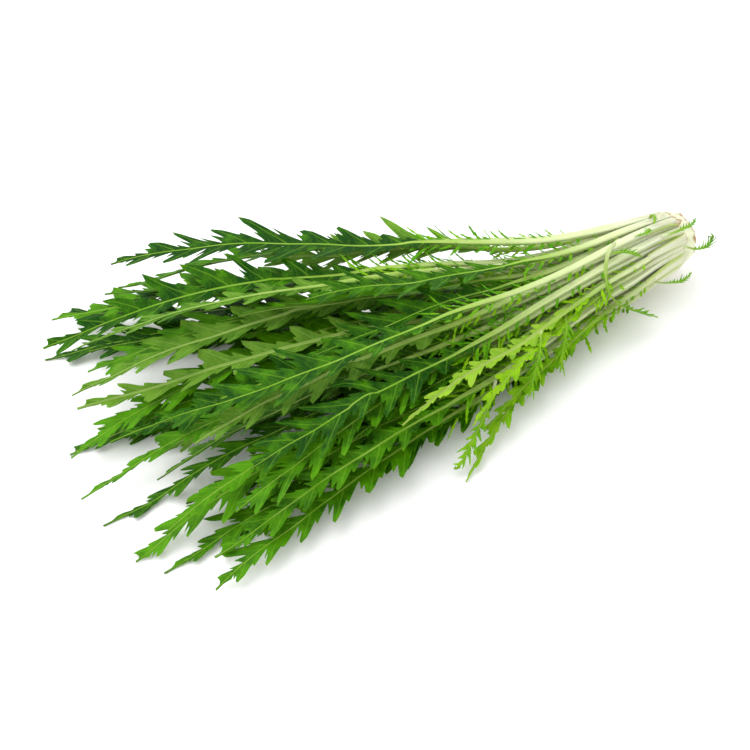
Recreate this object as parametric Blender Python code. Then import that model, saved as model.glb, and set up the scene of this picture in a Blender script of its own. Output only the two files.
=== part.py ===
"""A head of mizuna, cut at the root and lying on its side.

Slim stalks leave a small crown in rows, fan out, and end in long leaves with pointed lobes.
Each leaf is laid over the ones below it, so that none cuts through another.
+X runs from the leaf tips to the cut crown, +Z is up, and the origin is under the head's middle.
Run it with: blender --background --python part.py
"""

from math import cos, hypot, pi, radians, sin, sqrt
from random import Random

import bmesh
import bpy
import numpy as np

MM = 0.001
SEED = 29

# The bundle of stalks, where it leaves the crown
BUNDLE_RADIUS = 26 * MM
BUNDLE_HEIGHT = 26.9 * MM  # of its axis, above the table
ROW_PITCH = 5.4 * MM
STALK_PITCH = 6.4 * MM
STALKS_IN_ROW = (3, 5, 7, 7, 8, 7, 7, 7, 5, 3)
PINCH = 0.25  # how much narrower the bundle is at the crown
PINCH_LENGTH = 50 * MM
FAN_TO = (-10.0, 36.0)  # degrees from -X, at the fan's two sides
FAN_LENGTH = 150 * MM  # the stalks turn to their own direction over this

# The crown: a cone that the stalks stand round, and the cut end behind it
CONE_LENGTH = 15 * MM
CROWN_RADIUS = 18.6 * MM
CROWN_DEPTH = 13 * MM
CUT_RADIUS = 12 * MM
CROWN_SIDES = 22
CROWN_GAP = 0.4 * MM

# One leaf
STALK_WIDTH = (4.0 * MM, 5.2 * MM, 3.6 * MM, 1.1 * MM)  # at the crown, past it, at the blade, at the tip
STALK_DEPTH = (3.7 * MM, 4.5 * MM, 2.6 * MM, 1.1 * MM)
WIDEST_AT = 40 * MM
BLADE_HALF = 0.38 * MM  # half the thickness of the blade
STALK_STATIONS = 6
BLADE_STATIONS = 16
LOBE_ANGLE = (48.0, 25.0)  # degrees between a lobe and the rib, at the blade's foot and at its tip

# How leaves lie on each other
CELL = 0.5 * MM  # of the height map
CLEAR = 0.55 * MM
CLEAR_IN_BUNDLE = 0.3 * MM
STEP = 4 * MM  # along a leaf's path
SPILL = 36 * MM  # a leaf's path goes this far past its rib's end
STALK_SAG = 1.2  # curvature that a free span takes under its own weight, per metre
BLADE_SAG = 14.0
SAG_ROUNDS = 500
CREST = (0.03, 0.3, 0.28, 0.14, 0.1)  # the tightest radius that a leaf bends to over what it lies on, in metres
MOST_TILT = 62.0


def ease(t):
    """0 below 0, 1 above 1, smooth in between."""
    t = np.clip(t, 0.0, 1.0)
    return t * t * (3 - 2 * t)


def along(t, values):
    """A value that changes evenly through the given ones as t goes from 0 to 1."""
    return np.interp(t, np.linspace(0, 1, len(values)), values)


def leaf(name, row_height, side, fan, length, **more):
    """The facts of one leaf. Angles are in degrees and lengths in metres."""
    facts = {
        "name": name,
        "row_height": row_height,
        "side": side,
        "fan": fan,
        "length": length,
        "bend": 0.0,  # extra turn by the tip
        "sway": 0.0,  # turn to one side and back
        "blade_from": 0.52,  # where the blade starts, as a share of the length
        "width": 19 * MM,  # the longest lobe
        "cut": 0.3,  # how much of the width is left between the lobes
        "fold": 12.0,
        "roll": 0.0,
        "twist": 0.0,  # further roll by the tip
        "wave": 2.2 * MM,
        "wave_at": 0.0,
        "lift": 0.0,  # how far the tip curls up
        "underside_up": False,
        "stout": 1.0,
        "root_at": 0.0,  # how far from the cone the leaf leaves the bundle
        "seed": 0,
    }
    facts.update(more)
    return facts


def head_leaves():
    """Every leaf of the head, from the lowest row to the highest."""
    rng = Random(SEED)
    leaves = []
    for row, count in enumerate(STALKS_IN_ROW):
        places = list(range(count))
        rng.shuffle(places)
        for place in places:
            share = (place + 0.5) / count
            young = place == 0 and row in (2, 4, 6, 7)
            short = young or (place + row) % 3 == 1
            length = rng.uniform(232, 292) if short else rng.uniform(325, 392)
            facts = leaf(
                f"young_leaf_{row}" if young else f"leaf_{row}_{place}",
                (row - (len(STALKS_IN_ROW) - 1) / 2) * ROW_PITCH,
                (place - (count - 1) / 2) * STALK_PITCH,
                FAN_TO[0] + share * (FAN_TO[1] - FAN_TO[0]) + rng.uniform(-4, 4),
                length * MM,
                bend=rng.choice((10, 10, 24)) * rng.uniform(-1, 1),
                sway=rng.uniform(-2.5, 2.5),
                blade_from=rng.uniform(0.38, 0.46) if short else rng.uniform(0.43, 0.54),
                width=rng.uniform(20, 36) * MM,
                cut=rng.uniform(0.18, 0.42),
                fold=rng.uniform(4, 28) if row > 5 else rng.uniform(0, 12),
                roll=rng.uniform(-20, 20) if row > 5 else rng.uniform(-10, 10),
                twist=rng.uniform(-38, 38) if row > 5 else rng.uniform(-10, 10),
                wave=rng.uniform(1, 3.4) * MM if row > 5 else rng.uniform(0.6, 1.6) * MM,
                wave_at=rng.uniform(0, 2 * pi),
                lift=rng.uniform(0, 9) * MM if row > 5 else 0.0,
                underside_up=rng.random() < (0.45 if row > 5 else 0.25),
                seed=rng.randrange(10000),
            )
            if young:
                facts.update(length=facts["length"] - 50 * MM, width=12 * MM, stout=0.7, blade_from=0.4)
                facts["fan"] -= 4
            leaves.append(facts)
    resting = next(one for one in leaves if one["name"] == "leaf_0_1")
    resting.update(name="resting_leaf", fan=4.0, bend=0.0, sway=0.0, fold=0.0, roll=0.0, twist=0.0, wave=0.0)
    resting["underside_up"] = True  # its smooth face lies pressed flat on the table
    return [resting] + [one for one in leaves if one is not resting]


def stalk_size(facts, s):
    """(half width, depth) of the stalk, or of the rib further on, at s along the leaf."""
    start = facts["blade_from"] * facts["length"]
    marks = (0, WIDEST_AT, start, facts["length"])
    half = np.interp(s, marks, STALK_WIDTH) * facts["stout"] / 2
    return half, np.interp(s, marks, STALK_DEPTH) * facts["stout"]


def path_of(facts):
    """The leaf's way over the table as arrays: distance along it, x, y, and direction in radians."""
    steps = np.arange(0, facts["length"] + SPILL + STEP, STEP)
    share = steps / facts["length"]
    turn = facts["fan"] * ease(steps / FAN_LENGTH) + facts["bend"] * share**2
    turn = np.radians(turn + facts["sway"] * np.sin(2 * pi * share))
    middle = (turn[:-1] + turn[1:]) / 2
    x = -np.concatenate([[0], np.cumsum(np.cos(middle) * STEP)])
    y = np.concatenate([[0], np.cumsum(np.sin(middle) * STEP)])
    radius = (1 - PINCH) * hypot(facts["side"], facts["row_height"])
    cone = -CONE_LENGTH * (1 - max(radius - 3.3 * MM, 0) / CROWN_RADIUS)
    pinch = 1 - PINCH * (1 - ease(steps / PINCH_LENGTH))
    return steps, x + cone - CROWN_GAP, y + facts["side"] * pinch, turn


def stations_of(facts):
    """Places along the rib, each with the reach of the blade on the two sides, (s, left, right)."""
    rng = Random(facts["seed"])
    start = facts["blade_from"] * facts["length"]
    places = []
    for s in np.linspace(0, start, STALK_STATIONS, endpoint=False):
        half = stalk_size(facts, s)[0]
        places.append((float(s), half, half))
    for i in range(BLADE_STATIONS + 1):
        uneven = rng.uniform(-0.25, 0.25) if 0 < i < BLADE_STATIONS else 0
        share = (i + uneven) / BLADE_STATIONS
        s = start + (facts["length"] - start) * share
        half = stalk_size(facts, s)[0]
        reach = facts["width"] * sin(pi * (0.08 + 0.92 * share) ** 1.2) ** 0.8 * rng.uniform(0.6, 1.2)
        between = max(half + 0.5 * MM, reach * (facts["cut"] + 0.12 * share))
        if i == BLADE_STATIONS:
            places.append((s, half, half))
        elif i % 2:
            places.append((s, max(reach, between), between))
        else:
            places.append((s, between, max(reach, between)))
    return places


def rung(facts, s, reach, side):
    """A point of the blade, reach out from the rib: (distance along the path, offset to its side, height, tilt)."""
    half = stalk_size(facts, s)[0]
    share = (s / facts["length"] - facts["blade_from"]) / (1 - facts["blade_from"])
    angle = np.radians(along(share, LOBE_ANGLE))
    beyond = np.maximum(reach - half, 0)
    on = s + beyond * np.cos(angle)
    out = np.minimum(reach, half) + beyond * np.sin(angle)
    opened = ease((share + 0.25) / 0.5)
    roll = facts["roll"] + facts["twist"] * np.clip(share, 0, 1)
    tilt = np.radians(np.clip(facts["fold"] + side * roll, -MOST_TILT, MOST_TILT) * opened)
    ripple = facts["wave"] * np.sin(facts["wave_at"] + on / (9 * MM) + side) * beyond / facts["width"]
    return on, side * out * np.cos(tilt), out * np.sin(tilt) + ripple * opened, tilt


def ring_of(facts, s, left, right):
    """Six points round the leaf at s, each (distance along the path, offset to the side, height)."""
    half, depth = stalk_size(facts, s)
    on_blade = ease((s - facts["blade_from"] * facts["length"]) / (18 * MM))
    face = -1 if facts["underside_up"] else 1
    edge_in = max(0.36 * depth * (1 - on_blade), BLADE_HALF)
    edge_out = max(0.14 * depth * (1 - on_blade), BLADE_HALF)
    rib_in = 0.28 * depth * (1 - on_blade) + BLADE_HALF * on_blade
    rib_out = 0.64 * depth
    centred = face * 0.18 * depth * (1 - on_blade)
    edge_top, edge_low = (edge_in, edge_out) if face > 0 else (edge_out, edge_in)
    rib_top, rib_low = (rib_in, rib_out) if face > 0 else (rib_out, rib_in)
    points = []
    for reach, side in ((left, 1), (right, -1)):
        on, out, height, tilt = rung(facts, s, reach, side)
        thick = 1 / max(cos(tilt), 0.5)
        height += centred
        points.append([(on, out, height + edge_top * thick), (on, out, height - edge_low * thick)])
    (left_top, left_low), (right_top, right_low) = points
    return [left_top, (s, 0.0, centred + rib_top), right_top, right_low, (s, 0.0, centred - rib_low), left_low]


class Heap:
    """The height of what lies on the table, as a map of small cells."""

    def __init__(self):
        self.low = np.array([-0.46, -0.24])
        self.top = np.zeros((int(0.52 / CELL), int(0.5 / CELL)))

    def cells(self, x, y):
        i = np.clip(((x - self.low[0]) / CELL).astype(int), 1, self.top.shape[0] - 2)
        j = np.clip(((y - self.low[1]) / CELL).astype(int), 1, self.top.shape[1] - 2)
        return i, j

    def widened(self):
        """The map with each cell as high as the highest beside it."""
        wide = self.top.copy()
        for axis in (0, 1):
            wide = np.maximum(wide, np.maximum(np.roll(wide, 1, axis), np.roll(wide, -1, axis)))
        return wide

    def add(self, x, y, z):
        i, j = self.cells(x, y)
        np.maximum.at(self.top, (i, j), z)


# A grid of places in a blade's four-sided patch, which two triangles make
PATCH_ALONG, PATCH_ACROSS = 64, 44
_a, _b = np.meshgrid(np.linspace(0, 1, PATCH_ALONG), np.linspace(0, 1, PATCH_ACROSS), indexing="ij")
NEAR_EDGE = (_b > _a).ravel()
PATCH_A, PATCH_B = _a.ravel(), _b.ravel()


def spread(rib, next_rib, edge, next_edge):
    """Values all over a patch, from those at its corners, flat in each of its two triangles."""
    by_edge = rib + PATCH_B * (edge - rib) + PATCH_A * (next_edge - edge)
    by_rib = rib + PATCH_A * (next_rib - rib) + PATCH_B * (next_edge - next_rib)
    return np.where(NEAR_EDGE, by_edge, by_rib)


def patches(values, rib, edge):
    """The patches between each two rings, for the rib and edge points with these numbers."""
    return np.concatenate(
        [spread(a[rib], b[rib], a[edge], b[edge]) for a, b in zip(values, values[1:])]
    )


def over_surface(values, upper):
    """The values all over the leaf's upper or lower face."""
    rib, edges = (1, (0, 2)) if upper else (4, (5, 3))
    return np.concatenate([patches(values, rib, edge) for edge in edges])


def root_height(facts, steps):
    """Where the leaf's rib is held by the bundle round it, near the crown."""
    return BUNDLE_HEIGHT + facts["row_height"] * (1 - PINCH * (1 - ease(steps / PINCH_LENGTH)))


def over_crests(facts, steps, heights):
    """The heights raised to a line that passes over each of them with no bend tighter than a leaf takes."""
    crest = np.interp(steps / facts["length"], (0, 0.25, 0.5, 0.8, 1), CREST)
    return (heights[None, :] - (steps[:, None] - steps[None, :]) ** 2 / (2 * crest[None, :])).max(axis=1)


def draped(facts, steps, needed):
    """A height along the leaf that is never under the needed one, and sags like a supple strip between."""
    sag = np.interp(steps / facts["length"], (0, 0.5, 0.8, 1), (STALK_SAG, STALK_SAG, BLADE_SAG, BLADE_SAG))
    height = needed = over_crests(facts, steps, needed)
    for _ in range(SAG_ROUNDS):
        middle = (height[:-2] + height[2:]) / 2 - sag[1:-1] * STEP**2
        height = np.concatenate([height[:1], np.maximum(needed[1:-1], middle), height[-1:]])
    for _ in range(5):
        soft = height.copy()
        soft[1:-1] = (height[:-2] + 2 * height[1:-1] + height[2:]) / 4
        height = np.maximum(soft, needed)
    return height


def lay_leaf(facts, heap):
    """Lays one leaf on the heap. Returns its rings as points in space, and its path with heights."""
    steps, path_x, path_y, turn = path_of(facts)
    rings = np.array([ring_of(facts, *place) for place in stations_of(facts)])
    on, out, rise = rings[..., 0], rings[..., 1], rings[..., 2]
    heading = np.interp(on, steps, turn)
    x = np.interp(on, steps, path_x) + out * np.sin(heading)
    y = np.interp(on, steps, path_y) + out * np.cos(heading)
    low_x, low_y = over_surface(x, False), over_surface(y, False)
    low_on, low_rise = over_surface(on, False), over_surface(rise, False)
    cells = heap.cells(low_x, low_y)
    free = low_on > PINCH_LENGTH
    under = np.where(free, heap.widened()[cells], heap.top[cells])
    under = np.where(under > 0, under + np.where(free, CLEAR, CLEAR_IN_BUNDLE), 0)
    bins = np.clip((low_on / STEP + 0.5).astype(int), 0, len(steps) - 1)
    needed = np.full(len(steps), -1.0)
    np.maximum.at(needed, bins, under - low_rise)
    known = needed > -1
    needed = np.interp(steps, steps[known], needed[known])
    needed = needed + facts["lift"] * np.clip((steps / facts["length"] - 0.72) / 0.28, 0, 2) ** 2
    needed = np.where(steps < PINCH_LENGTH, np.maximum(needed, root_height(facts, steps)), needed)
    height = draped(facts, steps, needed)
    for _ in range(12):
        low_z = over_surface(np.interp(on, steps, height) + rise, False)
        short = under - low_z
        if short.max() < 0.02 * MM:
            break
        lack = np.zeros(len(steps))
        np.maximum.at(lack, bins, short)
        height = height + np.maximum(over_crests(facts, steps, lack), 0)
    z = np.interp(on, steps, height) + rise
    heap.add(over_surface(x, True), over_surface(y, True), over_surface(z, True))
    return np.stack([x, y, z], axis=-1), (steps, path_x, path_y, turn, height)


def material(name, colour, roughness):
    made = bpy.data.materials.new(name)
    made.use_nodes = True
    shader = made.node_tree.nodes["Principled BSDF"]
    shader.inputs["Base Color"].default_value = (*colour, 1)
    shader.inputs["Roughness"].default_value = roughness
    shader.inputs["Metallic"].default_value = 0
    made.diffuse_color = (*colour, 1)
    return made


def add_object(name, mesh_maker, materials, parent):
    bm = bmesh.new()
    mesh_maker(bm)
    bmesh.ops.recalc_face_normals(bm, faces=bm.faces)
    mesh = bpy.data.meshes.new(name)
    bm.to_mesh(mesh)
    bm.free()
    for one in materials:
        mesh.materials.append(one)
    made = bpy.data.objects.new(name, mesh)
    made.parent = parent
    bpy.context.scene.collection.objects.link(made)
    return made


def leaf_mesh(rings, first_blade_ring):
    """A maker of the leaf's closed surface. Its blade's two faces are split into triangles alike."""

    def make(bm):
        rows = [[bm.verts.new(point) for point in ring] for ring in rings]
        for i, (a, b) in enumerate(zip(rows, rows[1:])):
            triangles = []
            for rib, edge in ((1, 0), (1, 2), (4, 5), (4, 3)):
                triangles += [(a[rib], b[rib], b[edge]), (a[rib], b[edge], a[edge])]
            for top, low in ((0, 5), (2, 3)):
                triangles += [(a[top], b[top], b[low]), (a[top], b[low], a[low])]
            for corners in triangles:
                bm.faces.new(corners).material_index = int(i >= first_blade_ring)
        for row, paint in ((rows[0], 0), (rows[-1], 1)):
            for corners in ((0, 1, 5), (1, 4, 5), (1, 2, 4), (2, 3, 4)):
                bm.faces.new([row[k] for k in corners]).material_index = paint

    return make


def crown_mesh(bm):
    """A turned solid: the cone among the stalks, the rounded shoulder, and the flat cut end."""
    shoulder = [
        (CROWN_DEPTH * (1 - cos(a)) * 0.9, CUT_RADIUS + (CROWN_RADIUS - CUT_RADIUS) * cos(a))
        for a in np.linspace(0.35, pi / 2, 4)
    ]
    outline = [(-CONE_LENGTH, 0), (0, CROWN_RADIUS), *shoulder, (CROWN_DEPTH, CUT_RADIUS * 0.94), (CROWN_DEPTH, 0)]
    points = [bm.verts.new((x, 0, radius)) for x, radius in outline]
    edges = [bm.edges.new(pair) for pair in zip(points, points[1:])]
    bmesh.ops.spin(
        bm, geom=points + edges, cent=(0, 0, 0), axis=(1, 0, 0), angle=2 * pi, steps=CROWN_SIDES, use_merge=True
    )
    bmesh.ops.remove_doubles(bm, verts=bm.verts, dist=0.05 * MM)
    bmesh.ops.translate(bm, verts=bm.verts, vec=(0, 0, BUNDLE_HEIGHT))


def centre(parent):
    """Moves the whole head so that the origin is under the middle of its box, on the table."""
    points = np.array([v.co for child in parent.children for v in child.data.vertices])
    low, high = points.min(axis=0), points.max(axis=0)
    parent.location = (-(low[0] + high[0]) / 2, -(low[1] + high[1]) / 2, -low[2])


def main():
    for old in list(bpy.data.objects):
        bpy.data.objects.remove(old)
    head = bpy.data.objects.new("mizuna_head", None)
    bpy.context.scene.collection.objects.link(head)
    stalk = material("stalk", (0.74, 0.82, 0.50), 0.38)
    blade = material("blade", (0.10, 0.27, 0.03), 0.5)
    young = material("young_blade", (0.30, 0.52, 0.05), 0.5)
    crown = add_object("crown", crown_mesh, [material("crown", (0.62, 0.52, 0.30), 0.6)], head)
    crown.data.shade_smooth()
    crown.data.set_sharp_from_angle(angle=radians(40))
    heap = Heap()
    for facts in head_leaves():
        rings, _ = lay_leaf(facts, heap)
        green = young if facts["name"].startswith("young") else blade
        add_object(facts["name"], leaf_mesh(rings, STALK_STATIONS), [stalk, green], head)
    centre(head)


main()
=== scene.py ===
"""The looks of a head of mizuna, cut at the root and lying on its side.

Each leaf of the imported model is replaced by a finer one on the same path: a ribbed stalk, thread-like
lobes along it, and a thin blade with pointed lobes and veins. The crown gets its fleshy stalk bases.
"""

from math import cos, hypot, pi, radians, sin
from random import Random

import bpy
import numpy as np
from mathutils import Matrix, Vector


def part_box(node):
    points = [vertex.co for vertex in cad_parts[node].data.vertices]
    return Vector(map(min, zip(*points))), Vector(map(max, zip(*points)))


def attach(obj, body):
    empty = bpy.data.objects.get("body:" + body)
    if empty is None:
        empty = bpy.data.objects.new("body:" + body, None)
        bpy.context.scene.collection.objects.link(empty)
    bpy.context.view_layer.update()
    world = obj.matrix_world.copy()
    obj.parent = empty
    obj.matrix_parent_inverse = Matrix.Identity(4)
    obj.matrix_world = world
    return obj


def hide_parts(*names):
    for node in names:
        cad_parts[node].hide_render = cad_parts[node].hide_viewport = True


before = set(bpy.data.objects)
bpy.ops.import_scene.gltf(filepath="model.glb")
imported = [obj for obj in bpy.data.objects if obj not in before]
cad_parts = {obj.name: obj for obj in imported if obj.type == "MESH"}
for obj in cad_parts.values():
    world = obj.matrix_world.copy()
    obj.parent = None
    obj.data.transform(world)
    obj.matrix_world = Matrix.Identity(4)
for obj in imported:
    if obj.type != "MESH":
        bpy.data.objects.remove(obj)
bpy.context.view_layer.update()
MM = 0.001


# Where the leaves lie. A real head has some sixty leaves that leave a small crown in rows, fan out
# and come to rest on each other. This is the rule that part.py places its leaves by, repeated with
# the same draws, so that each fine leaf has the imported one's stalk, bends and lobes.
SEED = 29

# The bundle of stalks, where it leaves the crown
BUNDLE_HEIGHT = 26.9 * MM  # of its axis, above the table
ROW_PITCH = 5.4 * MM
STALK_PITCH = 6.4 * MM
STALKS_IN_ROW = (3, 5, 7, 7, 8, 7, 7, 7, 5, 3)
PINCH = 0.25  # how much narrower the bundle is at the crown
PINCH_LENGTH = 50 * MM
FAN_TO = (-10.0, 36.0)  # degrees from -X, at the fan's two sides
FAN_LENGTH = 150 * MM  # the stalks turn to their own direction over this

# The crown: a cone that the stalks stand round, and the cut end behind it
CONE_LENGTH = 15 * MM
CROWN_RADIUS = 18.6 * MM
CROWN_DEPTH = 13 * MM
CROWN_GAP = 0.4 * MM

# One leaf
STALK_WIDTH = (4.0 * MM, 5.2 * MM, 3.6 * MM, 1.1 * MM)  # at the crown, past it, at the blade, at the tip
STALK_DEPTH = (3.7 * MM, 4.5 * MM, 2.6 * MM, 1.1 * MM)
WIDEST_AT = 40 * MM
BLADE_HALF = 0.38 * MM  # half the thickness of the blade
STALK_STATIONS = 6
BLADE_STATIONS = 16
LOBE_ANGLE = (48.0, 25.0)  # degrees between a lobe and the rib, at the blade's foot and at its tip

# How leaves lie on each other
CELL = 0.5 * MM  # of the height map
CLEAR = 0.55 * MM
CLEAR_IN_BUNDLE = 0.3 * MM
STEP = 4 * MM  # along a leaf's path
SPILL = 36 * MM  # a leaf's path goes this far past its rib's end
STALK_SAG = 1.2  # curvature that a free span takes under its own weight, per metre
BLADE_SAG = 14.0
SAG_ROUNDS = 500
CREST = (0.03, 0.3, 0.28, 0.14, 0.1)  # the tightest radius that a leaf bends to over what it lies on, in metres
MOST_TILT = 62.0


def ease(t):
    """0 below 0, 1 above 1, smooth in between."""
    t = np.clip(t, 0.0, 1.0)
    return t * t * (3 - 2 * t)


def along(t, values):
    """A value that changes evenly through the given ones as t goes from 0 to 1."""
    return np.interp(t, np.linspace(0, 1, len(values)), values)


def leaf(name, row_height, side, fan, length, **more):
    """The facts of one leaf. Angles are in degrees and lengths in metres."""
    facts = {
        "name": name,
        "row_height": row_height,
        "side": side,
        "fan": fan,
        "length": length,
        "bend": 0.0,  # extra turn by the tip
        "sway": 0.0,  # turn to one side and back
        "blade_from": 0.52,  # where the blade starts, as a share of the length
        "width": 19 * MM,  # the longest lobe
        "cut": 0.3,  # how much of the width is left between the lobes
        "fold": 12.0,
        "roll": 0.0,
        "twist": 0.0,  # further roll by the tip
        "wave": 2.2 * MM,
        "wave_at": 0.0,
        "lift": 0.0,  # how far the tip curls up
        "underside_up": False,
        "stout": 1.0,
        "root_at": 0.0,  # how far from the cone the leaf leaves the bundle
        "seed": 0,
    }
    facts.update(more)
    return facts


def head_leaves():
    """Every leaf of the head, from the lowest row to the highest."""
    rng = Random(SEED)
    leaves = []
    for row, count in enumerate(STALKS_IN_ROW):
        places = list(range(count))
        rng.shuffle(places)
        for place in places:
            share = (place + 0.5) / count
            young = place == 0 and row in (2, 4, 6, 7)
            short = young or (place + row) % 3 == 1
            length = rng.uniform(232, 292) if short else rng.uniform(325, 392)
            facts = leaf(
                f"young_leaf_{row}" if young else f"leaf_{row}_{place}",
                (row - (len(STALKS_IN_ROW) - 1) / 2) * ROW_PITCH,
                (place - (count - 1) / 2) * STALK_PITCH,
                FAN_TO[0] + share * (FAN_TO[1] - FAN_TO[0]) + rng.uniform(-4, 4),
                length * MM,
                bend=rng.choice((10, 10, 24)) * rng.uniform(-1, 1),
                sway=rng.uniform(-2.5, 2.5),
                blade_from=rng.uniform(0.38, 0.46) if short else rng.uniform(0.43, 0.54),
                width=rng.uniform(20, 36) * MM,
                cut=rng.uniform(0.18, 0.42),
                fold=rng.uniform(4, 28) if row > 5 else rng.uniform(0, 12),
                roll=rng.uniform(-20, 20) if row > 5 else rng.uniform(-10, 10),
                twist=rng.uniform(-38, 38) if row > 5 else rng.uniform(-10, 10),
                wave=rng.uniform(1, 3.4) * MM if row > 5 else rng.uniform(0.6, 1.6) * MM,
                wave_at=rng.uniform(0, 2 * pi),
                lift=rng.uniform(0, 9) * MM if row > 5 else 0.0,
                underside_up=rng.random() < (0.45 if row > 5 else 0.25),
                seed=rng.randrange(10000),
            )
            if young:
                facts.update(length=facts["length"] - 50 * MM, width=12 * MM, stout=0.7, blade_from=0.4)
                facts["fan"] -= 4
            leaves.append(facts)
    resting = next(one for one in leaves if one["name"] == "leaf_0_1")
    resting.update(name="resting_leaf", fan=4.0, bend=0.0, sway=0.0, fold=0.0, roll=0.0, twist=0.0, wave=0.0)
    resting["underside_up"] = True  # its smooth face lies pressed flat on the table
    return [resting] + [one for one in leaves if one is not resting]


def stalk_size(facts, s):
    """(half width, depth) of the stalk, or of the rib further on, at s along the leaf."""
    start = facts["blade_from"] * facts["length"]
    marks = (0, min(WIDEST_AT, start / 2), start, facts["length"])
    half = np.interp(s, marks, STALK_WIDTH) * facts["stout"] / 2
    return half, np.interp(s, marks, STALK_DEPTH) * facts["stout"]


def path_of(facts):
    """The leaf's way over the table as arrays: distance along it, x, y, and direction in radians."""
    steps = np.arange(0, facts["length"] + SPILL + STEP, STEP)
    share = steps / facts["length"]
    turn = facts["fan"] * ease(steps / FAN_LENGTH) + facts["bend"] * share**2
    turn = np.radians(turn + facts["sway"] * np.sin(2 * pi * share))
    middle = (turn[:-1] + turn[1:]) / 2
    x = -np.concatenate([[0], np.cumsum(np.cos(middle) * STEP)])
    y = np.concatenate([[0], np.cumsum(np.sin(middle) * STEP)])
    radius = (1 - PINCH) * hypot(facts["side"], facts["row_height"])
    cone = -CONE_LENGTH * (1 - max(radius - 3.3 * MM, 0) / CROWN_RADIUS)
    pinch = 1 - PINCH * (1 - ease(steps / PINCH_LENGTH))
    return steps, x + cone - CROWN_GAP, y + facts["side"] * pinch, turn


def stations_of(facts):
    """Places along the rib, each with the reach of the blade on the two sides, (s, left, right)."""
    rng = Random(facts["seed"])
    start = facts["blade_from"] * facts["length"]
    places = []
    for s in np.linspace(0, start, STALK_STATIONS, endpoint=False):
        half = stalk_size(facts, s)[0]
        places.append((float(s), half, half))
    for i in range(BLADE_STATIONS + 1):
        uneven = rng.uniform(-0.25, 0.25) if 0 < i < BLADE_STATIONS else 0
        share = (i + uneven) / BLADE_STATIONS
        s = start + (facts["length"] - start) * share
        half = stalk_size(facts, s)[0]
        reach = facts["width"] * sin(pi * (0.08 + 0.92 * share) ** 1.2) ** 0.8 * rng.uniform(0.6, 1.2)
        between = max(half + 0.5 * MM, reach * (facts["cut"] + 0.12 * share))
        if i == BLADE_STATIONS:
            places.append((s, half, half))
        elif i % 2:
            places.append((s, max(reach, between), between))
        else:
            places.append((s, between, max(reach, between)))
    return places


def rung(facts, s, reach, side):
    """A point of the blade, reach out from the rib: (distance along the path, offset to its side, height, tilt)."""
    half = stalk_size(facts, s)[0]
    share = (s / facts["length"] - facts["blade_from"]) / (1 - facts["blade_from"])
    angle = np.radians(along(share, LOBE_ANGLE))
    beyond = np.maximum(reach - half, 0)
    on = s + beyond * np.cos(angle)
    out = np.minimum(reach, half) + beyond * np.sin(angle)
    opened = ease((share + 0.25) / 0.5)
    roll = facts["roll"] + facts["twist"] * np.clip(share, 0, 1)
    tilt = np.radians(np.clip(facts["fold"] + side * roll, -MOST_TILT, MOST_TILT) * opened)
    ripple = facts["wave"] * np.sin(facts["wave_at"] + on / (9 * MM) + side) * beyond / facts["width"]
    return on, side * out * np.cos(tilt), out * np.sin(tilt) + ripple * opened, tilt


def ring_of(facts, s, left, right):
    """Six points round the leaf at s, each (distance along the path, offset to the side, height)."""
    half, depth = stalk_size(facts, s)
    on_blade = ease((s - facts["blade_from"] * facts["length"]) / (18 * MM))
    face = -1 if facts["underside_up"] else 1
    edge_in = max(0.36 * depth * (1 - on_blade), BLADE_HALF)
    edge_out = max(0.14 * depth * (1 - on_blade), BLADE_HALF)
    rib_in = 0.28 * depth * (1 - on_blade) + BLADE_HALF * on_blade
    rib_out = 0.64 * depth
    centred = face * 0.18 * depth * (1 - on_blade)
    edge_top, edge_low = (edge_in, edge_out) if face > 0 else (edge_out, edge_in)
    rib_top, rib_low = (rib_in, rib_out) if face > 0 else (rib_out, rib_in)
    points = []
    for reach, side in ((left, 1), (right, -1)):
        on, out, height, tilt = rung(facts, s, reach, side)
        thick = 1 / max(cos(tilt), 0.5)
        height += centred
        points.append([(on, out, height + edge_top * thick), (on, out, height - edge_low * thick)])
    (left_top, left_low), (right_top, right_low) = points
    return [left_top, (s, 0.0, centred + rib_top), right_top, right_low, (s, 0.0, centred - rib_low), left_low]


class Heap:
    """The height of what lies on the table, as a map of small cells."""

    def __init__(self):
        self.low = np.array([-0.46, -0.24])
        self.top = np.zeros((int(0.52 / CELL), int(0.5 / CELL)))

    def cells(self, x, y):
        i = np.clip(((x - self.low[0]) / CELL).astype(int), 1, self.top.shape[0] - 2)
        j = np.clip(((y - self.low[1]) / CELL).astype(int), 1, self.top.shape[1] - 2)
        return i, j

    def widened(self):
        """The map with each cell as high as the highest beside it."""
        wide = self.top.copy()
        for axis in (0, 1):
            wide = np.maximum(wide, np.maximum(np.roll(wide, 1, axis), np.roll(wide, -1, axis)))
        return wide

    def add(self, x, y, z):
        i, j = self.cells(x, y)
        np.maximum.at(self.top, (i, j), z)


# A grid of places in a blade's four-sided patch, which two triangles make
PATCH_ALONG, PATCH_ACROSS = 64, 44
_a, _b = np.meshgrid(np.linspace(0, 1, PATCH_ALONG), np.linspace(0, 1, PATCH_ACROSS), indexing="ij")
NEAR_EDGE = (_b > _a).ravel()
PATCH_A, PATCH_B = _a.ravel(), _b.ravel()


def spread(rib, next_rib, edge, next_edge):
    """Values all over a patch, from those at its corners, flat in each of its two triangles."""
    by_edge = rib + PATCH_B * (edge - rib) + PATCH_A * (next_edge - edge)
    by_rib = rib + PATCH_A * (next_rib - rib) + PATCH_B * (next_edge - next_rib)
    return np.where(NEAR_EDGE, by_edge, by_rib)


def patches(values, rib, edge):
    """The patches between each two rings, for the rib and edge points with these numbers."""
    return np.concatenate(
        [spread(a[rib], b[rib], a[edge], b[edge]) for a, b in zip(values, values[1:])]
    )


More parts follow.
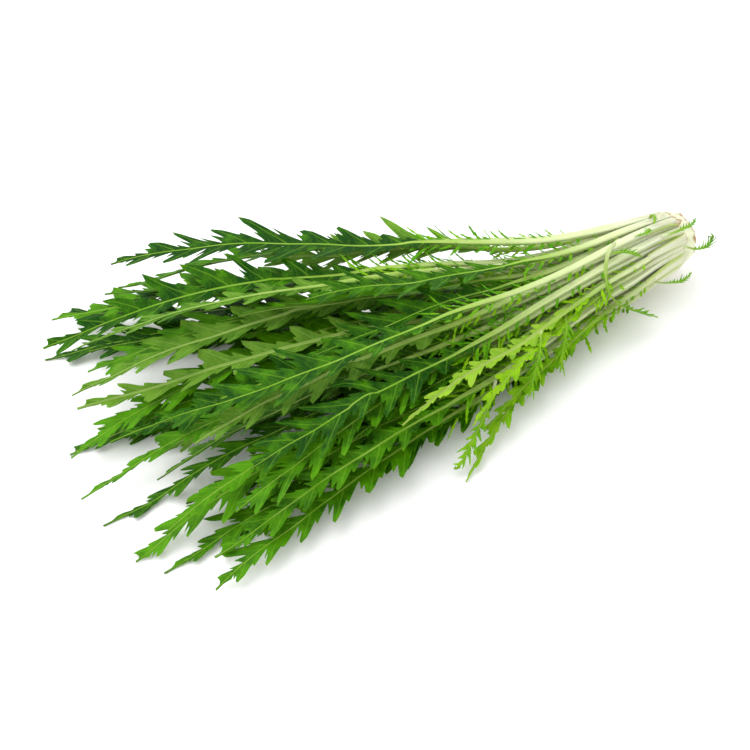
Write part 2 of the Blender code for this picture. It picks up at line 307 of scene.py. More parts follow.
def over_surface(values, upper):
    """The values all over the leaf's upper or lower face."""
    rib, edges = (1, (0, 2)) if upper else (4, (5, 3))
    return np.concatenate([patches(values, rib, edge) for edge in edges])


def root_height(facts, steps):
    """Where the leaf's rib is held by the bundle round it, near the crown."""
    return BUNDLE_HEIGHT + facts["row_height"] * (1 - PINCH * (1 - ease(steps / PINCH_LENGTH)))


def over_crests(facts, steps, heights):
    """The heights raised to a line that passes over each of them with no bend tighter than a leaf takes."""
    crest = np.interp(steps / facts["length"], (0, 0.25, 0.5, 0.8, 1), CREST)
    return (heights[None, :] - (steps[:, None] - steps[None, :]) ** 2 / (2 * crest[None, :])).max(axis=1)


def draped(facts, steps, needed):
    """A height along the leaf that is never under the needed one, and sags like a supple strip between."""
    sag = np.interp(steps / facts["length"], (0, 0.5, 0.8, 1), (STALK_SAG, STALK_SAG, BLADE_SAG, BLADE_SAG))
    height = needed = over_crests(facts, steps, needed)
    for _ in range(SAG_ROUNDS):
        middle = (height[:-2] + height[2:]) / 2 - sag[1:-1] * STEP**2
        height = np.concatenate([height[:1], np.maximum(needed[1:-1], middle), height[-1:]])
    for _ in range(5):
        soft = height.copy()
        soft[1:-1] = (height[:-2] + 2 * height[1:-1] + height[2:]) / 4
        height = np.maximum(soft, needed)
    return height


def lay_leaf(facts, heap):
    """Lays one leaf on the heap. Returns its rings as points in space, and its path with heights."""
    steps, path_x, path_y, turn = path_of(facts)
    rings = np.array([ring_of(facts, *place) for place in stations_of(facts)])
    on, out, rise = rings[..., 0], rings[..., 1], rings[..., 2]
    heading = np.interp(on, steps, turn)
    x = np.interp(on, steps, path_x) + out * np.sin(heading)
    y = np.interp(on, steps, path_y) + out * np.cos(heading)
    low_x, low_y = over_surface(x, False), over_surface(y, False)
    low_on, low_rise = over_surface(on, False), over_surface(rise, False)
    cells = heap.cells(low_x, low_y)
    free = low_on > PINCH_LENGTH
    under = np.where(free, heap.widened()[cells], heap.top[cells])
    under = np.where(under > 0, under + np.where(free, CLEAR, CLEAR_IN_BUNDLE), 0)
    bins = np.clip((low_on / STEP + 0.5).astype(int), 0, len(steps) - 1)
    needed = np.full(len(steps), -1.0)
    np.maximum.at(needed, bins, under - low_rise)
    known = needed > -1
    needed = np.interp(steps, steps[known], needed[known])
    needed = needed + facts["lift"] * np.clip((steps / facts["length"] - 0.72) / 0.28, 0, 2) ** 2
    needed = np.where(steps < PINCH_LENGTH, np.maximum(needed, root_height(facts, steps)), needed)
    height = draped(facts, steps, needed)
    for _ in range(12):
        low_z = over_surface(np.interp(on, steps, height) + rise, False)
        short = under - low_z
        if short.max() < 0.02 * MM:
            break
        lack = np.zeros(len(steps))
        np.maximum.at(lack, bins, short)
        height = height + np.maximum(over_crests(facts, steps, lack), 0)
    z = np.interp(on, steps, height) + rise
    heap.add(over_surface(x, True), over_surface(y, True), over_surface(z, True))
    return np.stack([x, y, z], axis=-1), (steps, path_x, path_y, turn, height)


# The paint box. Fresh plant tissue has no flat colours, so each material below is a sum of soft
# patches, veins and streaks. A Wire is a shader socket that can be added, multiplied and mixed.
class Wire:
    def __init__(self, socket):
        self.socket = socket
        self.tree = socket.id_data

    def feed(self, socket, value):
        if isinstance(value, Wire):
            self.tree.links.new(value.socket, socket)
        else:
            socket.default_value = value

    def node(self, kind, inputs, out=0, **settings):
        made = self.tree.nodes.new("ShaderNode" + kind)
        for name, value in settings.items():
            setattr(made, name, value)
        for name, value in inputs.items():
            self.feed(made.inputs[name], value)
        return Wire(made.outputs[out])

    def sum(self, operation, a, b=0.0):
        return self.node("Math", {0: a, 1: b}, operation=operation)

    def __add__(self, other):
        return self.sum("ADD", self, other)

    def __radd__(self, other):
        return self.sum("ADD", other, self)

    def __sub__(self, other):
        return self.sum("SUBTRACT", self, other)

    def __rsub__(self, other):
        return self.sum("SUBTRACT", other, self)

    def __mul__(self, other):
        return self.sum("MULTIPLY", self, other)

    def __rmul__(self, other):
        return self.sum("MULTIPLY", other, self)

    def wave(self):
        return self.sum("SINE", self)

    def away_from_whole(self):
        """The distance to the nearest whole number."""
        return self.sum("ABSOLUTE", self.sum("FRACT", self + 0.5) - 0.5)

    def most(self, other):
        return self.sum("MAXIMUM", self, other)

    def rise(self, low, high):
        """0 at low and under, 1 at high and over, smooth in between."""
        inputs = {"Value": self, "From Min": low, "From Max": high}
        return self.node("MapRange", inputs, interpolation_type="SMOOTHSTEP")

    def blend(self, first, second):
        """The first colour where this is 0, and the second where it is 1."""
        return self.node("Mix", {0: self, 6: first, 7: second}, out=2, data_type="RGBA")

    def cloud(self, scale, detail=2.0):
        return self.node("TexNoise", {"Vector": self, "Scale": scale, "Detail": detail})

    def part(self, axis):
        return self.node("SeparateXYZ", {"Vector": self}, out=axis)


def rgb(red, green, blue):
    """A colour read off a screen, 0 to 255, as the linear values that a shader takes."""
    parts = [c / 255 for c in (red, green, blue)]
    return (*[c / 12.92 if c <= 0.04045 else ((c + 0.055) / 1.055) ** 2.4 for c in parts], 1.0)


def new_material(name):
    """A material, its shader node, and a Wire in it to start from."""
    made = bpy.data.materials.new(name)
    made.use_nodes = True
    shader = made.node_tree.nodes["Principled BSDF"]
    return made, shader, Wire(shader.outputs[0])


def paint(start, shader, colour, roughness, relief, depth):
    """Feeds the shader, with relief as a bump this deep in metres."""
    start.feed(shader.inputs["Base Color"], colour)
    start.feed(shader.inputs["Roughness"], roughness)
    start.feed(shader.inputs["Normal"], start.node("Bump", {"Height": relief, "Distance": depth}))


# The leaves' two faces. The upper side of a mizuna blade is a glossy full green and its underside a
# dull grey green with raised pale veins. The stalk runs from cream at the crown to green by the
# blade, ribbed along its back, and goes on through the blade as a pale midrib.
def leaf_material(name, dark, light, vein, sheen, vein_height, rib_to):
    made, shader, start = new_material(name)
    # zone holds: how far along (0 root, 1 blade's foot, 2 tip), across (-1 rib's middle, 0 its side,
    # 1 blade's edge), which vein, and the leaf's own tone
    zone = start.node("Attribute", {}, out="Vector", attribute_name="zone")
    tone = start.node("Attribute", {}, out="Alpha", attribute_name="zone")
    length, across, vein_at = zone.part(0), zone.part(1), zone.part(2)
    place = start.node("UVMap", {}, uv_map="grain")
    patch = place.cloud(0.9, 3.0)
    fine = place.cloud(9.0, 4.0)
    rib = 1 - (across + (1 - length.rise(0.8, 1.2)) * -0.6).rise(rib_to - 0.25, rib_to)
    thin = 0.5 + 0.5 * across.rise(1.0, 0.0)
    main_vein = 1 - vein_at.away_from_whole().rise(0.012 * thin, 0.045 * thin)
    side_vein = 1 - (vein_at * 5.0 + across * 1.6).away_from_whole().rise(0.03, 0.14)
    veins = (main_vein * 0.5).most(side_vein * 0.16) * across.rise(1.05, 0.75)
    bright = (patch - 0.5) * 1.5 + (fine - 0.5) * 0.5 + tone * 0.8 + 0.05
    flesh = bright.rise(0.0, 1.0).blend(dark, light)
    flesh = (veins * 0.6).blend(flesh, vein)
    stalk = length.rise(0.0, 0.45).blend(rgb(238, 241, 219), rgb(220, 231, 178))
    stalk = (length + (patch - 0.5) * 0.3).rise(0.4, 1.0).blend(stalk, rgb(158, 192, 84))
    stalk = length.rise(0.9, 1.4).blend(stalk, vein)
    streak = start.node("CombineXYZ", {"X": place.part(0) * 0.25, "Y": place.part(1) * 6.0}).cloud(2.0)
    stalk = (streak.rise(0.35, 0.75) * 0.4).blend(stalk, rgb(186, 208, 116))
    on_blade = (1 - rib) * length.rise(0.72, 1.02)
    colour = on_blade.blend(stalk, flesh)
    ridges = (across * 19.0).wave() * (1 - on_blade) * 0.3
    relief = ridges + veins * vein_height * on_blade + fine * 0.35 + streak * 0.25
    paint(start, shader, colour, sheen + 0.25 * fine, relief, 0.00025)
    shader.inputs["Specular IOR Level"].default_value = 0.09
    shader.inputs["Subsurface Weight"].default_value = 0.12
    shader.inputs["Subsurface Radius"].default_value = (0.4, 1.0, 0.15)
    shader.inputs["Subsurface Scale"].default_value = 0.0015
    return made


upper_side = leaf_material(
    "leaf_upper", rgb(14, 62, 0), rgb(76, 138, 0), rgb(124, 176, 40), 0.4, 0.5, -0.45,
)
underside = leaf_material(
    "leaf_under", rgb(46, 94, 6), rgb(104, 148, 44), rgb(150, 186, 90), 0.5, 1.4, -0.1,
)
young_upper = leaf_material(
    "young_upper", rgb(66, 136, 0), rgb(138, 188, 14), rgb(170, 206, 76), 0.4, 0.5, -0.4,
)
young_under = leaf_material(
    "young_under", rgb(84, 142, 12), rgb(144, 186, 48), rgb(180, 208, 100), 0.42, 1.2, 0.1,
)


# The leaves themselves. Each is one closed skin: a stalk with a flat face and a rounded ribbed back,
# which thins into the midrib of a blade that is cut into hooked, toothed lobes. Thread-like lobes
# stand along the upper stalk. A rung is a line of the skin from one edge of the leaf to the other.
RIB_COLUMNS = 3
BLADE_COLUMNS = 3
STALK_RUNGS = 36
RUNGS_PER_STATION = 12
SINUS_SPAN = 0.3  # shares of a station
NOTCH_SPAN = 0.2
STALK_FACE = (0.28, 0.32, 0.30, 0.15, 0.08, 0.04, 0.0)  # shares of its depth, from its middle out
STALK_BACK = (0.64, 0.60, 0.46, 0.12, 0.05, 0.03, 0.0)
BLADE_FACE = (0.26, 0.25, 0.22, 0.20, 0.19, 0.15, 0.0)  # millimetres
BLADE_BACK = (0.0, 0.0, 0.0, 0.22, 0.20, 0.15, 0.0)
WING = 0.25 * MM
THREAD_PITCH = 4.6 * MM
THREADS_FROM = 0.4  # shares of the stalk
THREADS_OVER = 0.62


def fine_edges(facts):
    """The rungs as arrays: place along the rib, reach to the left and right, and their vein numbers."""
    rng = Random(facts["seed"] + 1)
    places = stations_of(facts)
    start = facts["blade_from"] * facts["length"]
    s = list(np.linspace(0, start, STALK_RUNGS, endpoint=False))
    blade = places[STALK_STATIONS:]
    reaches = [[], []]
    for i, (here, there) in enumerate(zip(blade, blade[1:])):
        notch_at = [rng.uniform(0.4, 0.62), rng.uniform(0.42, 0.6)]
        notch_deep = [rng.uniform(0.3, 0.75), rng.uniform(0.3, 0.75)]
        sinus = rng.uniform(0.66, 0.88)
        for k in range(RUNGS_PER_STATION):
            t = k / RUNGS_PER_STATION
            s.append(here[0] + (there[0] - here[0]) * t)
            for side in (0, 1):
                a, b = here[1 + side], there[1 + side]
                falls = i % 2 == 1 - side
                far = 1 - t if falls else t
                left_over = 1 - sinus * max(0.0, 1 - far / SINUS_SPAN) ** 0.8
                left_over -= notch_deep[side] * max(0.0, 1 - abs(t - notch_at[side]) / NOTCH_SPAN)
                reach = (a + (b - a) * t) * max(left_over, 0.1)
                if i == len(blade) - 2:
                    reach = (a + (b - a) * t) * (1 - t) ** 0.8
                reaches[side].append(reach)
    s.append(places[-1][0])
    reaches[0].append(0.0)
    reaches[1].append(0.0)
    s = np.array(s)
    half = stalk_size(facts, s)[0]
    blade_rungs = np.arange(len(s) - STALK_RUNGS)
    number = np.concatenate([np.full(STALK_RUNGS, 0.5), blade_rungs / RUNGS_PER_STATION / 2])
    left = np.concatenate([half[:STALK_RUNGS], reaches[0]])
    right = np.concatenate([half[:STALK_RUNGS], reaches[1]])
    return s, np.maximum(left, half + WING), np.maximum(right, half + WING), number


def in_space(path, on, out, rise):
    """Points in space, from their places along the leaf's path, to its side and above it."""
    steps, path_x, path_y, turn, height = path
    heading = np.interp(on, steps, turn)
    x = np.interp(on, steps, path_x) + out * np.sin(heading)
    y = np.interp(on, steps, path_y) + out * np.cos(heading)
    return np.stack([x, y, np.maximum(np.interp(on, steps, height) + rise, 0.2 * MM)], axis=-1)


def leaf_skin(facts, path):
    """The leaf's points, zones, grain coordinates, four-sided faces, and which are of its back."""
    s, left, right, number = fine_edges(facts)
    half, depth = stalk_size(facts, s)
    half, depth = half[:, None], depth[:, None]
    on_blade = ease((s - facts["blade_from"] * facts["length"]) / (18 * MM))[:, None]
    face = -1 if facts["underside_up"] else 1
    centred = face * 0.18 * depth * (1 - on_blade)
    columns = RIB_COLUMNS + BLADE_COLUMNS
    rib_share = np.minimum(np.arange(columns + 1) / RIB_COLUMNS, 1)[None, :]
    blade_share = np.maximum((np.arange(columns + 1) - RIB_COLUMNS) / BLADE_COLUMNS, 0)[None, :]
    rounded = 0.64 * depth * np.sqrt(np.maximum(1 - rib_share**2, 0)) * (blade_share == 0)
    front = np.array(STALK_FACE) * depth * (1 - on_blade) + np.array(BLADE_FACE) * MM * on_blade
    back = np.array(STALK_BACK) * depth * (1 - on_blade)
    back = back + np.maximum(np.array(BLADE_BACK) * MM, rounded) * on_blade
    above, below = (front, back) if face > 0 else (back, front)
    halves = []
    for reach, side in ((left, 1), (right, -1)):
        out = half * rib_share + (reach[:, None] - half) * blade_share
        on, out, height, tilt = rung(facts, s[:, None] + 0 * out, out, side)
        thick = 1 / np.maximum(np.cos(tilt), 0.6)
        height = height + centred
        halves.append((on, out, height + above * thick, height - below * thick))
    order = [(0, 2, k) for k in range(columns, 0, -1)] + [(1, 2, k) for k in range(columns + 1)]
    order += [(1, 3, k) for k in range(columns - 1, 0, -1)] + [(0, 3, k) for k in range(columns)]
    on = np.stack([halves[h][0][:, k] for h, _, k in order], axis=1)
    out = np.stack([halves[h][1][:, k] for h, _, k in order], axis=1)
    rise = np.stack([halves[h][layer][:, k] for h, layer, k in order], axis=1)
    start = facts["blade_from"] * facts["length"]
    length = np.where(s < start, s / start, 1 + (s - start) / (facts["length"] - start))
    across = np.array([k / RIB_COLUMNS - 1 if k <= RIB_COLUMNS else (k - RIB_COLUMNS) / BLADE_COLUMNS
                       for _, _, k in order])
    vein = np.stack([number + (0.5 if h == 0 else 0.0) for h, _, k in order], axis=1)
    zone = np.stack([length[:, None] + 0 * on, across[None, :] + 0 * on, vein], axis=-1)
    grain = np.stack([on * 100 + facts["seed"] % 97, out * 100], axis=-1)
    rungs, around = on.shape
    i, j = np.meshgrid(np.arange(rungs - 1), np.arange(around), indexing="ij")
    a, d = i * around + j, i * around + (j + 1) % around
    quads = np.stack([a, a + around, d + around, d], axis=-1).reshape(-1, 4)
    on_top = (j < 2 * columns).ravel()
    is_back = on_top != (face > 0)
    points = in_space(path, on, out, rise)
    return points.reshape(-1, 3), zone.reshape(-1, 3), grain.reshape(-1, 2), quads, is_back, around, rungs


def threads(facts, path, rng):
    """Thread-like lobes along the upper stalk, each a narrow toothed strip with four edges."""
    start = facts["blade_from"] * facts["length"]
    points, zones, grains, quads = [], [], [], []
    count = int(start / THREAD_PITCH)
    for n in range(count):
        share = THREADS_FROM + THREADS_OVER * (n + rng.uniform(-0.4, 0.4)) / count
        if rng.random() < 0.95 - 0.9 * share:
            continue
        s, side = share * start, 1 if n % 2 else -1
        half, depth = stalk_size(facts, s)
        size = rng.uniform(3, 7) * MM + rng.uniform(6, 17) * MM * share**2
        angle = radians(rng.uniform(22, 55))
        curl = rng.uniform(-0.3, 0.6)
        t = np.linspace(0, 1, 10)[:, None]
        teeth = 1 + 0.4 * np.sin(t * 21 + n)
        width = rng.uniform(1.1, 2.3) * MM * t**0.6 * (1 - t) ** 0.6 * teeth + 0.2 * MM * (1 - t)
        around = np.array([[1, 0], [0, 0.3], [-1, 0], [0, -0.3]])
        on = s + size * t * cos(angle) + width * around[:, 0] * sin(angle)
        out = side * (0.7 * half + size * t * sin(angle) - width * around[:, 0] * cos(angle))
        rise = size * curl * t**2 + width * around[:, 1]
        first = sum(len(p) for p in points)
        i, j = np.meshgrid(np.arange(9), np.arange(4), indexing="ij")
        a, d = first + i * 4 + j, first + i * 4 + (j + 1) % 4
        loop = [a, a + 4, d + 4, d] if side > 0 else [a, d, d + 4, a + 4]
        quads.append(np.stack(loop, axis=-1).reshape(-1, 4))
        quads.append(first + np.array([[36, 37, 38, 39], [3, 2, 1, 0]]))
        points.append(in_space(path, on, out, rise).reshape(-1, 3))
        far = np.broadcast_to(t, on.shape).ravel()
        zones.append(np.stack([share + 0.2 + far, 0.1 + far * 0.7, 0.5 + 0 * far], axis=-1))
        grains.append(np.stack([on.ravel() * 100, out.ravel() * 100], axis=-1))
    return points, zones, grains, quads


def to_object(name, points, faces, slots, paints, zone=None, tone=0.5, grain=None):
    """A smooth mesh object in the head's place, with its zone and grain data."""
    mesh = bpy.data.meshes.new(name)
    mesh.from_pydata((points + shift).tolist(), [], faces)
    for one in paints:
        mesh.materials.append(one)
    mesh.polygons.foreach_set("material_index", slots)
    if zone is not None:
        data = mesh.attributes.new("zone", "FLOAT_COLOR", "POINT").data
        data.foreach_set("color", np.column_stack([zone, np.full(len(zone), tone)]).ravel())
    if grain is not None:
        corner = np.empty(len(mesh.loops), dtype=np.int32)
        mesh.loops.foreach_get("vertex_index", corner)
        mesh.uv_layers.new(name="grain").data.foreach_set("uv", grain[corner].ravel())
    mesh.validate()
    mesh.shade_smooth()
    mesh.set_sharp_from_angle(angle=radians(52))
    made = bpy.data.objects.new(name, mesh)
    bpy.context.scene.collection.objects.link(made)
    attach(made, "root")
    return made


heap = Heap()
paths = {}
for facts in head_leaves():
    paths[facts["name"]] = (facts, lay_leaf(facts, heap)[1])
crown_low, crown_high = (Vector(corner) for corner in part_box("crown"))
shift = np.array([
    crown_high.x - CROWN_DEPTH,
    (crown_low.y + crown_high.y) / 2,
    (crown_low.z + crown_high.z) / 2 - BUNDLE_HEIGHT,
])

for name, (facts, path) in paths.items():
    rng = Random(facts["seed"] + 2)
    young = name.startswith("young")
    points, zone, grain, quads, is_back, around, rungs = leaf_skin(facts, path)
    more, more_zones, more_grains, more_quads = threads(facts, path, rng)
    faces = quads.tolist()
    faces += [list(range(around)), list(range((rungs - 1) * around, rungs * around))[::-1]]
    slots = list(is_back.astype(int)) + [0, 0]
    for batch in more_quads:
        faces += (batch + len(points)).tolist()
        slots += [2] * len(batch)
    piece = to_object(
        "fine_" + name,
        np.concatenate([points] + more),
        faces,
        slots,
        [young_upper, young_under, young_upper] if young else [upper_side, underside, young_upper],
        np.concatenate([zone] + more_zones),
        rng.random(),
        np.concatenate([grain] + more_grains),
    )
    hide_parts(name)


# The crown. On the real head the stalks' fleshy cream bases close round a short stump, which was cut
# flat and has dried to a tan, fibrous face with a darker rim.
def crown_material():
    made, shader, start = new_material("crown_skin")
    zone = start.node("Attribute", {}, out="Vector", attribute_name="zone")
    cut, dry = zone.part(0), zone.part(1)
    place = start.node("UVMap", {}, uv_map="grain")
    patch, fine = place.cloud(1.4, 4.0), place.cloud(11.0, 4.0)
    flesh = fine.rise(0.3, 0.7).blend(rgb(248, 248, 224), rgb(226, 231, 184))
    flesh = zone.part(2).rise(0.5, 1.0).blend(flesh, rgb(176, 200, 92))
    tan = patch.rise(0.35, 0.65).blend(rgb(220, 192, 136), rgb(176, 138, 82))
    colour = (dry + (patch - 0.5) * 0.9).rise(0.35, 0.75).blend(flesh, tan)
    rings = (cut * 34.0 + patch * 3.0).wave() * cut.rise(0.02, 0.1)
    relief = fine + rings * 0.35
    paint(start, shader, colour, 0.45 + 0.3 * fine, relief, 0.0006)
    return made


crown_skin = crown_material()
ROUND, DOWN = 96, 30
profile_t = np.linspace(0, 1, DOWN)
profile = [
    (-CONE_LENGTH, 0.0),
    (-4 * MM, 14 * MM),
    (2 * MM, 17.6 * MM),
    (7 * MM, 17.2 * MM),
    (10.5 * MM, 15 * MM),
    (12.6 * MM, 11.8 * MM),
    (12.2 * MM, 8 * MM),
    (11.4 * MM, 0.4 * MM),
]
corner_t = np.linspace(0, 1, len(profile))
along_x = np.interp(profile_t, corner_t, [p[0] for p in profile])
radius = np.interp(profile_t, corner_t, [p[1] for p in profile])
for _ in range(2):
    along_x[1:-1] = (along_x[:-2] + 2 * along_x[1:-1] + along_x[2:]) / 4
    radius[1:-1] = (radius[:-2] + 2 * radius[1:-1] + radius[2:]) / 4
angle = np.linspace(0, 2 * pi, ROUND, endpoint=False)
waves = np.abs(np.sin(angle * 6.5 + 0.6 * np.sin(angle * 2)))
scallop = 1 - 0.075 * waves[None, :] * (along_x > -2 * MM)[:, None]
scallop = scallop + 0.02 * np.sin(angle * 23)[None, :]
spread_r = radius[:, None] * scallop
crown_points = np.stack([
    along_x[:, None] + 0.5 * MM * np.sin(angle * 5 + 1)[None, :] * (along_x > 9 * MM)[:, None],
    spread_r * np.cos(angle)[None, :],
    BUNDLE_HEIGHT + spread_r * np.sin(angle)[None, :],
], axis=-1).reshape(-1, 3)
i, j = np.meshgrid(np.arange(DOWN - 1), np.arange(ROUND), indexing="ij")
a, d = i * ROUND + j, i * ROUND + (j + 1) % ROUND
crown_faces = np.stack([a, d, d + ROUND, a + ROUND], axis=-1).reshape(-1, 4).tolist()
crown_faces += [list(range(ROUND))[::-1], list(range((DOWN - 1) * ROUND, DOWN * ROUND))]
on_cut = ((profile_t - 0.72) / 0.28).clip(0, 1)
dryness = 0.1 + 0.8 * ease((profile_t - 0.25) / 0.45)
crown_zone = [np.repeat(on_cut, ROUND), np.repeat(dryness, ROUND), np.zeros(DOWN * ROUND)]
crown_zone = np.stack(crown_zone, axis=-1)
crown_grain = np.stack([np.tile(angle * 2.2, DOWN), np.repeat(profile_t * 5, ROUND)], axis=-1)
crown = to_object("fine_crown", crown_points, crown_faces, [0] * len(crown_faces), [crown_skin],
                  crown_zone, 0.5, crown_grain)
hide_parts("crown")


# The stalks' fleshy bases. The outer stalks broaden towards the crown, lap over each other like scales
# and close over its shoulder, where they end in a dry tan edge.
BASE_STEPS, BASE_SIDES = 26, 9
BUNDLE_HALF_TALL = 24.3 * MM
BUNDLE_HALF_WIDE = 22.4 * MM
OUTER_FROM = 0.7  # share of the bundle's radius
base_points, base_faces, base_zones, base_grains = [], [], [], []
v = np.concatenate([np.linspace(-1, 1, BASE_SIDES), [0.6, 0.0, -0.6]])
outer = np.arange(len(v)) < BASE_SIDES
for n, (name, (facts, path)) in enumerate(paths.items()):
    steps, path_x, path_y, turn, height = path
    if hypot(facts["row_height"] / BUNDLE_HALF_TALL, facts["side"] / BUNDLE_HALF_WIDE) < OUTER_FROM:
        continue
    rng = Random(facts["seed"] + 3)
    root_x, end_x = path_x[0], (10.4 + rng.uniform(-1.2, 0.8)) * MM
    x = np.linspace(end_x, rng.uniform(-52, -34) * MM, BASE_STEPS)
    y = np.interp(-x, -path_x, path_y)
    z = np.interp(-x, -path_x, height) - BUNDLE_HEIGHT
    angle, reach = np.arctan2(z, y), np.hypot(y, z)
    closing = ease((x - root_x + 6 * MM) / (end_x - root_x + 6 * MM))
    reach = reach + (12.5 * MM - reach) * closing**1.3
    far = (end_x - x) / (end_x - x[-1])
    half = np.interp(far, (0, 0.15, 0.45, 1), (2.4, 3.1, 2.7, 1.9)) * MM * rng.uniform(0.9, 1.1)
    proud = np.interp(far, (0, 0.2, 0.6, 1), (1.4, 2.3, 2.35, 1.7)) * MM + (n % 3) * 0.25 * MM * (1 - far)
    ribs = 1 + 0.05 * np.cos(v * 11)
    crowned = proud[:, None] * np.sqrt(np.maximum(1 - v**2, 0)) * ribs
    out = np.where(outer, crowned - 0.9 * MM * v**2, -0.9 * MM)
    spread_v = half[:, None] * v
    turned = angle[:, None] + 0 * spread_v
    ring_y = (reach[:, None] + out) * np.cos(turned) - spread_v * np.sin(turned)
    ring_z = (reach[:, None] + out) * np.sin(turned) + spread_v * np.cos(turned)
    ring_z = np.maximum(ring_z + BUNDLE_HEIGHT, 0.3 * MM)
    first, around = len(base_points) * BASE_STEPS * len(v), len(v)
    base_points.append(np.stack([x[:, None] + 0 * out, ring_y, ring_z], axis=-1).reshape(-1, 3))
    i, j = np.meshgrid(np.arange(BASE_STEPS - 1), np.arange(around), indexing="ij")
    a, d = first + i * around + j, first + i * around + (j + 1) % around
    base_faces += np.stack([a, a + around, d + around, d], axis=-1).reshape(-1, 4).tolist()
    base_faces += [list(range(first, first + around)),
                   list(range(first + (BASE_STEPS - 1) * around, first + BASE_STEPS * around))[::-1]]
    dry = np.interp(far, (0, 0.08, 0.25, 0.6, 1), (0.95, 0.7, 0.38, 0.1, 0.0)) + rng.uniform(-0.15, 0.1)
    edge = np.abs(v)[None, :] * np.interp(far, (0, 0.3), (0.5, 1))[:, None]
    base_zones.append(np.stack([0 * out, dry[:, None] + 0 * out, edge + 0 * out], axis=-1).reshape(-1, 3))
    grain = np.stack([x[:, None] * 60 + n + 0 * out, v * 1.6 + n * 3.1 + 0 * out], axis=-1)
    base_grains.append(grain.reshape(-1, 2))
bases = to_object("fine_stalk_bases", np.concatenate(base_points), base_faces, [0] * len(base_faces),
                  [crown_skin], np.concatenate(base_zones), 0.5, np.concatenate(base_grains))


# Shoots. Small young leaves sprout between the stalks: one hangs over the near side and turns back,
# short curled ones stand out of the crown's end, and three hang down by the leaves. Points are in
# millimetres from the foot of the crown's axis, x towards the cut.
def shoot(name, points, width, stout, seed, foot):
    """A small feathery leaf along a bent line of points, with its blade from foot, a share of its length."""
    line = np.array(points, dtype=float) * MM
    t = np.linspace(0, len(line) - 1, 60)
    line = np.stack([np.interp(t, np.arange(len(line)), line[:, k]) for k in range(3)], axis=1)
    for _ in range(14):
        line[1:-1] = (line[:-2] + 2 * line[1:-1] + line[2:]) / 4
    move = np.diff(line, axis=0)
    steps = np.concatenate([[0], np.cumsum(np.maximum(np.hypot(move[:, 0], move[:, 1]), 0.3 * MM))])
    turn = np.unwrap(np.arctan2(move[:, 1], -move[:, 0]))
    path = (steps, line[:, 0], line[:, 1], np.concatenate([turn, turn[-1:]]), line[:, 2])
    facts = leaf(name, 0, 0, 0, steps[-1] * 0.92, width=width * MM, stout=stout, blade_from=foot, seed=seed,
                 cut=0.16, fold=14, wave=0.8 * MM)
    skin, zone, grain, quads, is_back, around, rungs = leaf_skin(facts, path)
    caps = [list(range(around)), list(range((rungs - 1) * around, rungs * around))[::-1]]
    zone[:, 0] = 0.25 + 0.75 * zone[:, 0]
    piece = to_object("shoot_" + name, skin, quads.tolist() + caps, list(is_back.astype(int)) + [0, 0],
                      [young_upper, young_under], zone, 0.5, grain)


shoot(
    "hanging",
    [(-46, -2, 50), (-60, -8, 55), (-71, -16, 53), (-76, -22, 47), (-77, -27, 40), (-74, -29, 33),
     (-67, -31, 26), (-57, -33, 19), (-47, -37, 13), (-38, -42, 9)],
    9, 0.45, 5, 0.5,
)
shoot("top", [(-66, -10, 53), (-56, -15, 53), (-50, -18, 51), (-44, -22, 48)], 7, 0.4, 6, 0.2)
shoot("star", [(-40, -8, 53), (-34, -12, 55), (-30, -11, 57)], 6, 0.3, 7, 0.15)
shoot("curled", [(-16, 3, 49), (-18, 0, 55), (-20, -5, 56), (-24, -8, 54)], 4, 0.4, 8, 0.2)
shoot("end_upper", [(-22, -14, 48), (-9, -17, 49), (2, -16, 48), (9, -13, 50)], 5, 0.45, 9, 0.3)
shoot(
    "end_lower",
    [(-8, -20, 38), (0, -24, 34), (8, -26, 34), (13, -25, 39), (10, -23, 43)],
    7, 0.35, 10, 0.25,
)
shoot("side_first", [(-104, -18, 34), (-112, -30, 32), (-122, -38, 22), (-128, -44, 8)], 10, 0.4, 12, 0.2)
shoot(
    "side_second",
    [(-128, -24, 36), (-140, -38, 34), (-152, -46, 22), (-158, -50, 8)],
    10, 0.4, 14, 0.2,
)
shoot(
    "side_hooked",
    [(-170, -34, 24), (-184, -46, 22), (-204, -56, 14), (-218, -62, 6), (-223, -61, 5), (-214, -65, 7)],
    9, 0.4, 15, 0.3,
)
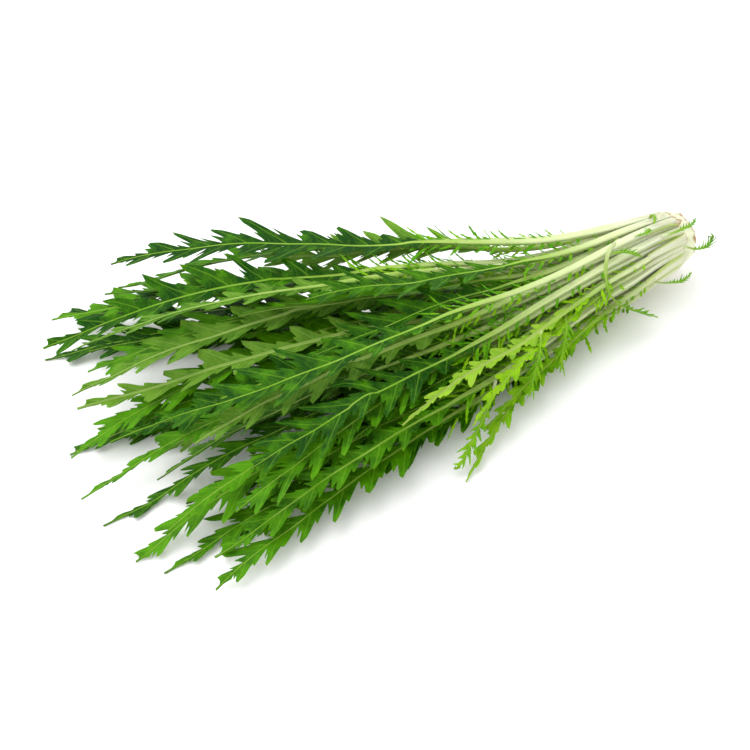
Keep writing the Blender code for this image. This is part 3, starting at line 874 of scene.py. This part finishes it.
shoot(
    "end_curl",
    [(-36, -17, 22), (-26, -24, 20), (-15, -28, 18), (-8, -29, 21), (-5, -28, 25)],
    5, 0.3, 11, 0.45,
)


# Floor, light and camera. The head lies on a plain white table under soft light from behind and to
# the left, so its shadow falls towards the viewer.
def plain(name, colour, roughness):
    made, shader, start = new_material(name)
    start.feed(shader.inputs["Base Color"], colour)
    start.feed(shader.inputs["Roughness"], roughness)
    return made


floor_mesh = bpy.data.meshes.new("floor")
floor_mesh.from_pydata([(-6, -6, 0), (6, -6, 0), (6, 6, 0), (-6, 6, 0)], [], [(0, 1, 2, 3)])
floor_mesh.materials.append(plain("white_table", (0.98, 0.98, 0.98, 1), 0.8))
floor = bpy.data.objects.new("floor", floor_mesh)
bpy.context.scene.collection.objects.link(floor)

world = bpy.data.worlds.new("studio")
bpy.context.scene.world = world
world.use_nodes = True
world.node_tree.nodes["Background"].inputs["Color"].default_value = (1, 1, 1, 1)
world.node_tree.nodes["Background"].inputs["Strength"].default_value = 1.0


def lamp(name, power, size, place, aim):
    data = bpy.data.lights.new(name, "AREA")
    data.energy, data.size = power, size
    made = bpy.data.objects.new(name, data)
    made.location = place
    made.rotation_euler = (Vector(place) - Vector(aim)).to_track_quat("Z", "Y").to_euler()
    bpy.context.scene.collection.objects.link(made)


lamp("key", 26, 2.2, (-0.5, 0.8, 1.5), (0, 0, 0))
lamp("fill", 4, 1.4, (-1.2, -0.9, 1.2), (0, 0, 0))

AZIMUTH, ELEVATION, DISTANCE = radians(-37), radians(42), 1.06
base = Vector((crown_high.x - CROWN_DEPTH, *((crown_low + crown_high) / 2)[1:]))
aim = base + Vector((-0.2085, 0.0309, -0.024))
back = Vector((
    sin(AZIMUTH) * cos(ELEVATION),
    -cos(AZIMUTH) * cos(ELEVATION),
    sin(ELEVATION),
))
lens = bpy.data.cameras.new("camera")
lens.lens = 85
camera = bpy.data.objects.new("camera", lens)
camera.location = aim + back * DISTANCE
camera.rotation_euler = back.to_track_quat("Z", "Y").to_euler()
bpy.context.scene.collection.objects.link(camera)
bpy.context.scene.camera = camera
bpy.context.scene.view_settings.view_transform = "Standard"
